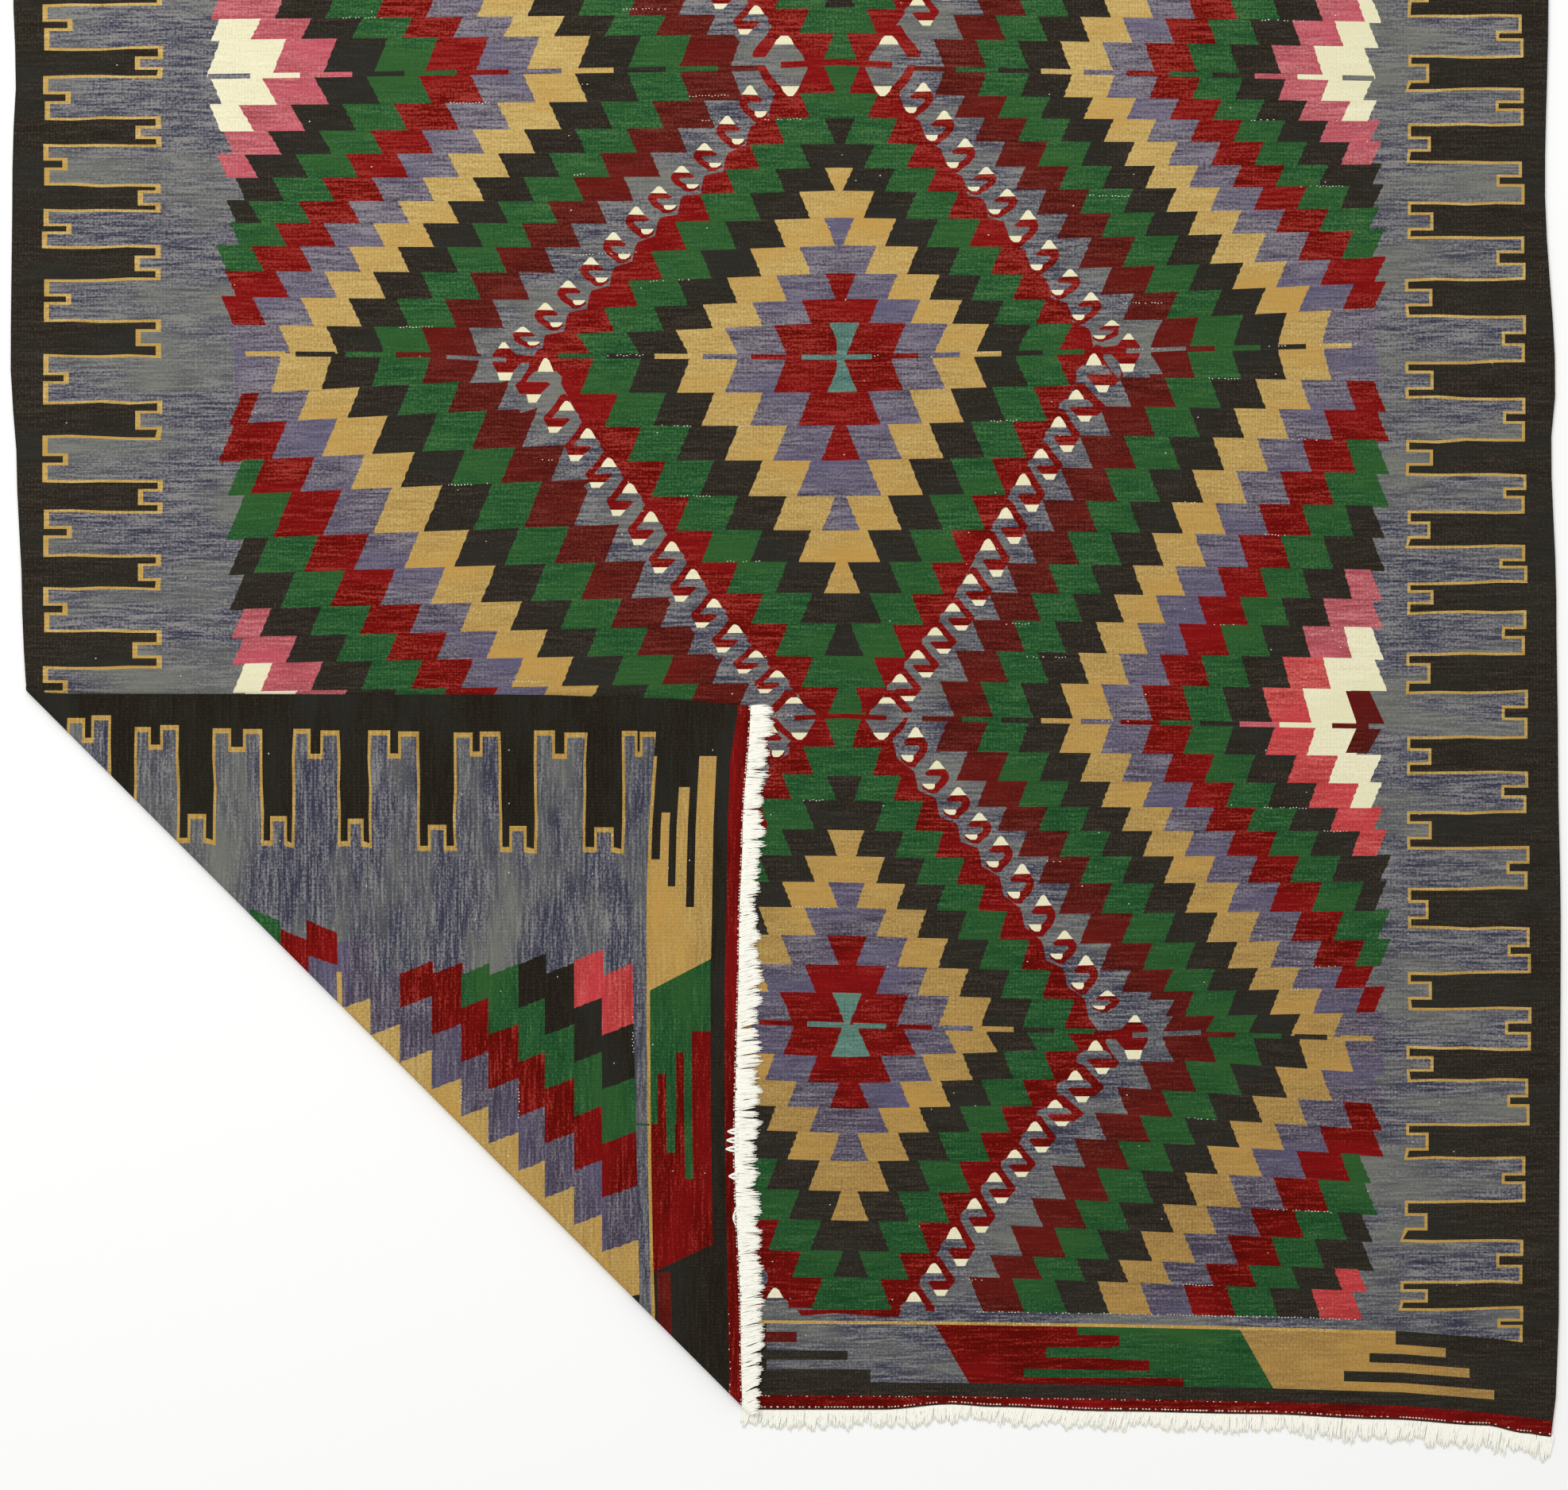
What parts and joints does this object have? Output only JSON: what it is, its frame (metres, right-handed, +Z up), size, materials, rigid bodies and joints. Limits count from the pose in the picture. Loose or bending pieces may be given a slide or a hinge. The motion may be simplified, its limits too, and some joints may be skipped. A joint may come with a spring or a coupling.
{
  "type": "kilim rug with one corner folded over",
  "caption": "Flat-woven wool kilim rug lying flat, one corner of the near end folded over onto its face, warp fringe at both ends.",
  "frame": {"origin": "bottom centre of the rug's box with its fringes, on the floor", "axes": "+Y along the rug's length from the end with the folded corner toward the other end, +Z up out of the floor, +X across to the right, so the folded corner is at -X -Y"},
  "size_m": [1.768, 2.4324, 0.0109],
  "materials": {
    "wool_weave": "matte wool tapestry weave in red, maroon, green, black-brown, gold, slate blue, violet grey, teal, pink and ivory",
    "cotton_warp": "matte undyed warp yarn, cut ends"
  },
  "bodies": {
    "root": {"rug_body": "wool_weave", "fringe_near": "cotton_warp", "fringe_flap": "cotton_warp", "fringe_far": "cotton_warp"}
  },
  "joints": []
}
